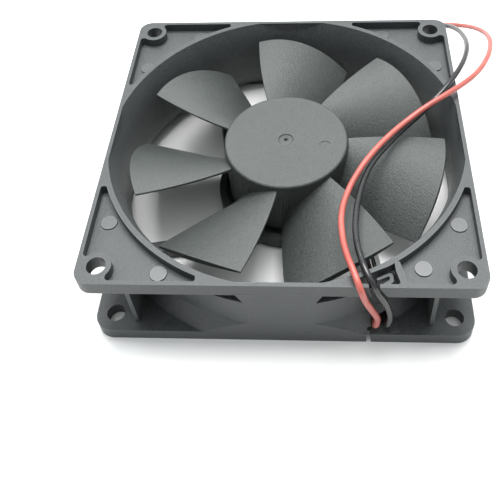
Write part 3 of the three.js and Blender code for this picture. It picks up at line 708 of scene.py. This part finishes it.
def air_path():
    """A curved mouth at the inlet, a cylinder at the blades and a curved flare at the outlet."""
    steps = 12
    flare = []
    for k in range(steps + 1):
        turn = k / steps * math.pi / 2
        radius = OUTLET_MOUTH - (OUTLET_MOUTH - DUCT_RADIUS) * math.sin(turn) ** 0.9
        flare.append((radius, FLARE_TOP_Z * (1 - math.cos(turn))))
    mouth = []
    for k in range(steps + 1):
        rise = k / steps
        mouth.append((lerp(DUCT_RADIUS, INLET_MOUTH, rise ** 2), lerp(MOUTH_FOOT_Z, DEPTH, rise)))
    path = lathe([
        (0, -1), (OUTLET_MOUTH, -1), *flare, *mouth, (INLET_MOUTH, DEPTH + 1), (0, DEPTH + 1),
    ])
    flat = HALF - SIDE_WALL
    return common(path, block((-flat, flat), (-flat, flat), (-2, DEPTH + 2)))


def corner_pocket():
    """One corner's shallow pocket in the inlet face, between the ring, the rim and the screw boss."""
    hole = HOLE_PITCH / 2
    rim = HALF - SIDE_WALL
    far = math.sqrt(RING_RADIUS ** 2 - POCKET_START ** 2)
    first = math.degrees(math.atan2(POCKET_START, far))
    boss = [(hole + x, hole + y, 0) for x, y in (polar(BOSS_RADIUS, 139 + 172 * k / 16) for k in range(17))]
    ring = [(*polar(RING_RADIUS, first + (90 - 2 * first) * k / 30), 0) for k in range(1, 30)]
    corners = [
        (POCKET_START, far, 0.5), (POCKET_START, rim, 0.6), (POCKET_END, rim, 0.9), *boss,
        (rim, POCKET_END, 0.9), (rim, POCKET_START, 0.6), (far, POCKET_START, 0.5), *ring,
    ]
    return prism(rounded(corners), POCKET_FLOOR_Z, DEPTH + 1)


def pin_mark_places():
    places = []
    for x in (-1, 1):
        for y in (-1, 1):
            (side_x, side_y), (end_x, end_y) = PIN_MARKS
            places.append((side_x * x, side_y * y))
            places.append(PIN_MARK_BESIDE_CLIP if x > 0 > y else (end_x * x, end_y * y))
    return places


def flange_ribs():
    ribs = []
    z = (OUTLET_FLANGE_TOP - INSET, INLET_FLANGE_Z + INSET)
    for x in (-RIB_X, RIB_X):
        for side in (-1, 1):
            y = sorted((RIB_Y[0] * side, RIB_Y[1] * side))
            ribs.append(block((x - RIB_HALF, x + RIB_HALF), y, z))
    return ribs


def struts():
    def plain():
        return bar(polar(*STRUT_INNER), polar(*STRUT_OUTER), STRUT_WIDTH / 2, *STRUT_Z, before=1, after=9)

    made = [turned(softened(plain(), 0.7, 3), 90 * k) for k in (0, 2, 3)]
    made.append(bar(CHANNEL_FROM, CHANNEL_TO, CHANNEL_HALF, STRUT_Z[0], CHANNEL_TOP, before=1, after=6.5))
    inside = HALF - 0.2
    return [common(one, block((-inside, inside), (-inside, inside), (0, DEPTH))) for one in made]


def motor_base():
    floor, top = BASE_FLOOR_Z
    return lathe([
        (TUBE_BORE, floor), (BASE_RECESS, floor), (BASE_RECESS, STRUT_Z[0]), (BASE_RADIUS, STRUT_Z[0]),
        (BASE_RADIUS, BASE_RIM_TOP), (BASE_RECESS, BASE_RIM_TOP), (BASE_RECESS, top),
        (TUBE_RADIUS + 0.6, top), (TUBE_RADIUS + 0.15, top + 0.15), (TUBE_RADIUS, top + 0.6),
        (TUBE_RADIUS, TUBE_TOP - 0.3), (TUBE_RADIUS - 0.3, TUBE_TOP), (TUBE_BORE, TUBE_TOP),
    ], 96)


def channel_cuts():
    top = BASE_FLOOR_Z[1]
    return [
        bar(CHANNEL_FROM, CHANNEL_TO, CHANNEL_INNER, top, 6, before=4, after=1),
        bar(CHANNEL_FROM, CHANNEL_TO, CHANNEL_INNER + 1.3, top, 6, before=5, after=-28),
        block(EXIT_SLOT_X, (-43.6, -38), (2.4, 6.4)),
        block(EXIT_SLOT_X, (-48, -38), (3.9, 6.4)),
        block(EXIT_SLIT_X, (-47, -43.2), (-1, OUTLET_FLANGE_TOP + 1)),
    ]


def clip_cavity():
    """The lead clip's opening in the inlet flange."""
    corners = [(16.8, -44, 0.3), (20, -42.55, 0), (25.4, -40.1, 0.9), (26.75, -45.1, 0.5), (17, -45.1, 0.3)]
    return prism(rounded(corners, 5), INLET_FLANGE_Z - 1, DEPTH + 1)


def clip_slot():
    """The slanted slot through the front rim, where the leads are pushed into the clip."""
    face = [(19.5, DEPTH + 1), (22.2, DEPTH + 1), (22.2, DEPTH - 0.6), (24.6, 20), (20.8, 20)]
    made = prism(face, -0.5, 1.9)
    made.data.transform(Matrix.Translation((0, -HALF, 0)) @ Matrix.Rotation(math.radians(90), 4, "X"))
    made.data.transform(Matrix.Translation((0, 1.4, 0)))
    return made


def clip_wall():
    return prism([(25.6, -39.2), (26.8, -39.4), (28.4, -45.5), (26.2, -45.5)], INLET_FLANGE_Z, DEPTH)


def clip_hook():
    """A springy hairpin that rises from the front rim and folds back on itself beside the leads."""
    corners = [
        (22.95, -45.4, 0), (23.9, -45.4, 0), (23.9, -44.55, 0.15), (25.35, -43.4, 0.6), (25.35, -41.35, 0.75),
        (24.35, -41.25, 0.2), (21.6, -42.6, 0.2), (21.85, -43.2, 0.2), (24.5, -41.95, 0.2),
        (24.6, -42.85, 0.2), (22.95, -44.1, 0.2),
    ]
    return prism(rounded(corners, 4), INLET_FLANGE_Z, HOOK_TOP)


def pin_witness_lines():
    """The fine groove that an ejector pin leaves round its mark."""
    z = (POCKET_FLOOR_Z - WITNESS_DEPTH, POCKET_FLOOR_Z + 1)
    lines = []
    for place in pin_mark_places():
        outer = cylinder(PIN_MARK_RADIUS + WITNESS_WIDTH, *z, place)
        lines.append(cut(outer, [cylinder(PIN_MARK_RADIUS, z[0] - 1, z[1] + 1, place)]))
    return lines


def screw_holes():
    hole = HOLE_PITCH / 2
    return around(lambda: cylinder(HOLE_RADIUS, -1, DEPTH + 1, (hole, hole)), 4)


def on_pin_mark(place, margin=0.25):
    """Whether a place is on an ejector pin's mark or on the groove round it."""
    level = abs(place.z - POCKET_FLOOR_Z) < PIN_MARK_HEIGHT + margin
    nearest = min((place.xy - Vector(mark)).length for mark in pin_mark_places())
    return level and nearest < PIN_MARK_RADIUS + margin


def polish_pin_marks(obj):
    """Ejector pins leave smooth discs: their faces take the polished material, whose paler colour is a
    painted sheen.
    """
    obj.data.materials.append(FINISHES["black_plastic"])
    obj.data.materials.append(FINISHES["polished_plastic_painted_sheen"])
    for polygon in obj.data.polygons:
        raised = polygon.center.z > POCKET_FLOOR_Z + PIN_MARK_HEIGHT / 2
        if raised and polygon.normal.z > 0.5 and on_pin_mark(polygon.center):
            polygon.material_index = 1


def is_panel_border(edge):
    """True for an edge between the flat middle of a side and the curved barrel beside it."""
    middle_z = sum(vert.co.z for vert in edge.verts) / 2
    flat = [max(abs(face.normal.x), abs(face.normal.y)) > 0.9995 for face in edge.link_faces]
    return OUTLET_FLANGE_TOP + 0.3 < middle_z < INLET_FLANGE_Z - 0.3 and any(flat) and not all(flat)


def make_frame():
    shell = union(duct_body(), [
        prism(rounded_square(HALF, INLET_CORNER), INLET_FLANGE_Z, DEPTH),
        prism(rounded_square(HALF, OUTLET_CORNER), 0, OUTLET_FLANGE_TOP),
        *flange_ribs(),
    ])
    walls = union(cut(shell, around(corner_pocket, 4)), [
        clip_wall(),
        *[cylinder(PIN_MARK_RADIUS, POCKET_FLOOR_Z - 0.5, POCKET_FLOOR_Z + PIN_MARK_HEIGHT, place)
          for place in pin_mark_places()],
    ])
    ducted = union(cut(walls, [air_path()]), [*struts(), motor_base()])
    opened = cut(ducted, [
        *channel_cuts(), *screw_holes(), *pin_witness_lines(), clip_cavity(), clip_slot(),
        cylinder(TUBE_BORE, -1, TUBE_TOP + 1), cylinder(BASE_RECESS, -1, BASE_FLOOR_Z[0], segments=96),
    ])
    whole = softened(union(opened, [clip_hook()]), EDGE_ROUND, merge=0.1, stays_sharp=on_pin_mark)
    polish_pin_marks(whole)
    whole = shaded(whole, creased=is_panel_border)
    return finished(whole, "moulded_frame", "black_plastic", "frame", "fan_frame")


# ---- Impeller ----
def blade_point(u, s):
    """A point of the blade's middle surface: u from root to tip, s from the high edge to the low edge."""
    radius = lerp(BLADE_ROOT, BLADE_TIP, u)
    angle = lerp(lerp(7.2, 0.6, u), -42 + 5 * max(u, 0) ** 0.72, s)
    drop = s - lerp(*BLADE_CAMBER, u) * s * (1 - s)
    return Vector((*polar(radius, angle), lerp(lerp(*BLADE_HIGH_Z, u), lerp(*BLADE_LOW_Z, u), drop)))


def blade_normal(u, s):
    step = 0.01
    along = blade_point(u + step, s) - blade_point(max(u - step, 0), s)
    across = blade_point(u, s + step) - blade_point(u, s - step)
    normal = along.cross(across).normalized()
    return -normal if normal.z < 0 else normal


def rounded_run(length, inner, both):
    """Places from 0 to 1 along a length, closer where an end is rounded, and each place's fullness."""
    turns = [k * math.pi / 8 for k in range(5)]
    ends = [(BLADE_ROUND * (1 - math.cos(turn)) / length, math.sin(turn)) for turn in turns]
    middle = [(k / inner, 1.0) for k in range(1, inner)]
    start = ends if both else [(0.0, 1.0)]
    return start + middle + [(1 - place, full) for place, full in reversed(ends)]


def blade():
    spans = rounded_run(BLADE_TIP - BLADE_ROOT, 14, both=False)
    chords = rounded_run(BLADE_CHORD, 18, both=True)
    bm = bmesh.new()
    upper, lower = [], []
    for u, full_u in spans:
        rows = ([], [])
        for s, full_s in chords:
            half = lerp(*BLADE_THICK, 4 * s * (1 - s)) / 2 - BLADE_ROUND * (1 - min(full_u, full_s))
            middle, normal = blade_point(u, s), blade_normal(u, s)
            rows[0].append(bm.verts.new(middle + normal * half))
            rows[1].append(bm.verts.new(middle - normal * half))
        upper.append(rows[0])
        lower.append(rows[1])
    last_u, last_s = len(spans) - 1, len(chords) - 1
    for i in range(last_u):
        for j in range(last_s):
            for grid in (upper, lower):
                bm.faces.new((grid[i][j], grid[i + 1][j], grid[i + 1][j + 1], grid[i][j + 1]))
        for j in (0, last_s):
            bm.faces.new((upper[i][j], upper[i + 1][j], lower[i + 1][j], lower[i][j]))
    for j in range(last_s):
        for i in (0, last_u):
            bm.faces.new((upper[i][j], upper[i][j + 1], lower[i][j + 1], lower[i][j]))
    return new_object("blade", bm)


def hub():
    """The hub cup, with a gate recess in the middle of its face and a rounded rim."""
    ceiling = HUB_TOP - HUB_WALL
    turns = [k * math.pi / 12 for k in range(7)]
    rim = [(HUB_RADIUS - HUB_RIM * (1 - math.sin(turn)), HUB_TOP - HUB_RIM * (1 - math.cos(turn)))
           for turn in turns]
    return lathe([
        (0, HUB_TOP - 0.75), (0.3, HUB_TOP - 0.75), (0.42, HUB_TOP - 0.22), (0.55, HUB_TOP - 0.12),
        (0.9, HUB_TOP - 0.3), (1.75, HUB_TOP - 0.32), (1.92, HUB_TOP - 0.2), (2.0, HUB_TOP - 0.04),
        (2.1, HUB_TOP), *rim, (HUB_RADIUS, HUB_SKIRT + 0.2), (HUB_RADIUS - 0.2, HUB_SKIRT),
        (HUB_INNER + 0.2, HUB_SKIRT), (HUB_INNER, HUB_SKIRT + 0.2), (HUB_INNER, ceiling), (0, ceiling),
    ], 144)


def fillet_roots(obj, width):
    """Rounds the corner where each blade meets the hub."""
    bm = bmesh.new()
    bm.from_mesh(obj.data)
    bmesh.ops.remove_doubles(bm, verts=bm.verts, dist=0.01)
    weight = bm.edges.layers.float.new("bevel_weight_edge")
    for edge in bm.edges:
        middle = (edge.verts[0].co + edge.verts[1].co) / 2
        at_root = abs(middle.xy.length - HUB_RADIUS) < 0.12 and HUB_SKIRT + 1 < middle.z < HUB_TOP - 0.9
        if at_root and len(edge.link_faces) == 2 and edge.calc_face_angle() > math.radians(35):
            edge[weight] = 1.0
    bm.to_mesh(obj.data)
    bm.free()
    modifier = obj.modifiers.new("roots", "BEVEL")
    modifier.width = width
    modifier.segments = 3
    modifier.limit_method = "WEIGHT"
    modifier.use_clamp_overlap = False
    return applied(obj)


def make_impeller():
    whole = union(hub(), around(blade, BLADES))
    whole = cut(whole, [cylinder(HUB_MARK_RADIUS, HUB_TOP - HUB_MARK_DEPTH, HUB_TOP + 1, HUB_MARK_PLACE)])
    whole = shaded(fillet_roots(whole, ROOT_FILLET))
    return finished(whole, "moulded_impeller", "rotor_plastic", "rotor", "impeller")


# ---- Connector, contacts and tie on the leads ----
def make_connector():
    low, high = CONNECTOR_Y - CONNECTOR_WIDTH / 2, CONNECTOR_Y + CONNECTOR_WIDTH / 2
    x0, x1 = CONNECTOR_X
    shell = block(CONNECTOR_X, (low, high), (0, CONNECTOR_HEIGHT))
    above = CONNECTOR_HEIGHT + 1
    cuts = [block((x0 - 1, x0 + 3.2), (low + 0.8, high - 0.8), (CONNECTOR_HEIGHT - 0.9, above))]
    for side in (-1, 1):
        middle = CONNECTOR_Y + side * PIN_PITCH / 2
        cuts.append(block((x0 - 1, x1 + 1), (middle - 1.05, middle + 1.05), (1.85, 3.95)))
        cuts.append(block((x0 + 4.3, x0 + 6.6), (middle - 0.6, middle + 0.6), (3.5, above)))
    grooves = [block((x0 + 5.5, x1 + 1), (y - 0.35, y + 0.35), (-1, CONNECTOR_HEIGHT - 1.2))
               for y in (low, high)]
    whole = softened(cut(shell, cuts + grooves), 0.16)
    return finished(shaded(whole), "connector_shell", "nylon", "frame", "connector_housing")


def make_contact(side, node):
    """A folded crimp contact: a box at the mating end and a crimp barrel round the lead."""
    middle = CONNECTOR_Y + side * PIN_PITCH / 2
    x0 = CONNECTOR_X[0] + 0.8
    box = block((x0, x0 + 4), (middle - 0.75, middle + 0.75), (2.15, 3.65))
    inside = block((x0 - 1, x0 + 3.6), (middle - 0.55, middle + 0.55), (2.35, 3.45))
    barrel = block((x0 + 3.5, CONNECTOR_X[1] - 2), (middle - 0.6, middle + 0.6), (2.15, 3.2))
    whole = softened(union(cut(box, [inside]), [barrel]), 0.08)
    return finished(shaded(whole), f"crimp_{node}", "steel", "frame", node)


def make_tie():
    """A small nylon cable tie: a flat band round the coil's turns and a square locking head."""
    near, far = COIL_OUTER_TURN - 3.95, COIL_OUTER_TURN + 0.35
    top = 3.45
    outer = rounded([(near - 0.32, 0, 0.7), (far + 0.32, 0, 0.7), (far + 0.32, top + 0.32, 0.9),
                     (near - 0.32, top + 0.32, 0.9)], 5)
    inner = rounded([(near, 0.3, 0.45), (far, 0.3, 0.45), (far, top, 0.6), (near, top, 0.6)], 5)
    band = cut(prism(outer, -1.2, 1.2), [prism(inner, -2, 2)])
    head_outline = [(far + 0.2, 1.1, 0.2), (far + 2, 1.1, 0.35), (far + 2, 3.3, 0.35), (far + 0.2, 3.3, 0.2)]
    head = prism(rounded(head_outline), -1.7, 1.7)
    left, right = far + 0.9, far + 1.3
    strap_outline = [(left, 0.4, 0.1), (right, 0.4, 0.1), (right, 4.4, 0.1), (left, 4.4, 0.1)]
    strap = prism(rounded(strap_outline, 2), -1.1, 1.1)
    whole = softened(union(band, [head, strap]), 0.1)
    whole.data.transform(Matrix.Rotation(math.radians(90), 4, "X"))
    whole.data.transform(Matrix.Rotation(math.radians(TIE_ANGLE), 4, "Z"))
    whole.data.transform(Matrix.Translation((*COIL_CENTRE, 0)))
    return finished(shaded(whole), "cable_tie", "nylon", "frame", "lead_tie")


make_frame()
make_impeller()
connector = make_connector()
contacts = [make_contact(1, "contact_1"), make_contact(-1, "contact_2")]
tie = make_tie()

# ---- Materials on the CAD nodes that stay as they are ----
NODE_FINISHES = {
    "bearing_cap": "rotor_plastic", "rear_label": "label", "sleeve_bearing": "bronze",
    "circuit_board": "board", "hall_sensor": "chip", "driver_chip": "chip", "capacitor": "nylon",
    "polarity_diode": "chip", "lower_insulator": "nylon", "upper_insulator": "nylon",
    "stator_core": "laminate", "rotor_yoke": "steel", "magnet_ring": "magnet", "shaft_boss": "brass",
    "shaft": "steel", "upper_washer": "nylon", "lower_washer": "nylon", "retaining_clip": "steel",
}
NODE_FINISHES.update({f"winding_pin_{k}": "steel" for k in (1, 2, 3)})
NODE_FINISHES.update({f"winding_{k}": "copper" for k in (1, 2, 3, 4)})
for node, key in NODE_FINISHES.items():
    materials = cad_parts[node].data.materials
    materials.clear()
    materials.append(FINISHES[key])


# ---- Floor and light ----
SKY_LEAN = 0.6
SKY_RISE = {"From Min": 0.2, "From Max": 1.0, "To Min": 0.55, "To Max": 1.78}


def make_floor():
    bm = bmesh.new()
    bmesh.ops.create_grid(bm, x_segments=2, y_segments=2, size=3)
    floor = new_object("floor", bm)
    floor.data.materials.append(tabletop("pale_tabletop"))


def soft_light(name, place, size, power, target=(0, 0, 0.01)):
    data = bpy.data.lights.new(name, "AREA")
    data.shape = "RECTANGLE"
    data.size, data.size_y = size
    data.energy = power
    light = bpy.data.objects.new(name, data)
    light.location = place
    light.rotation_euler = (Vector(target) - Vector(place)).to_track_quat("-Z", "Y").to_euler()
    bpy.context.scene.collection.objects.link(light)


def make_studio():
    """A pale room, brighter overhead and behind than in front, and one large softbox above the fan."""
    world = bpy.data.worlds.new("studio")
    world.use_nodes = True
    nodes, links = world.node_tree.nodes, world.node_tree.links
    direction = nodes.new("ShaderNodeSeparateXYZ")
    links.new(nodes.new("ShaderNodeTexCoord").outputs["Generated"], direction.inputs[0])
    height = nodes.new("ShaderNodeMath")
    height.operation = "MULTIPLY_ADD"
    links.new(direction.outputs["Y"], height.inputs[0])
    height.inputs[1].default_value = SKY_LEAN
    links.new(direction.outputs["Z"], height.inputs[2])
    rise = nodes.new("ShaderNodeMapRange")
    for key, value in SKY_RISE.items():
        rise.inputs[key].default_value = value
    links.new(height.outputs["Value"], rise.inputs["Value"])
    background = nodes["Background"]
    background.inputs["Color"].default_value = rgb(0.95, 0.98, 1.0)
    links.new(rise.outputs["Result"], background.inputs["Strength"])
    bpy.context.scene.world = world
    soft_light("overhead_softbox", (0.0, 0.2, 0.75), (0.5, 0.45), 10.5)
    bpy.context.scene.view_settings.view_transform = "Standard"


make_floor()
make_studio()
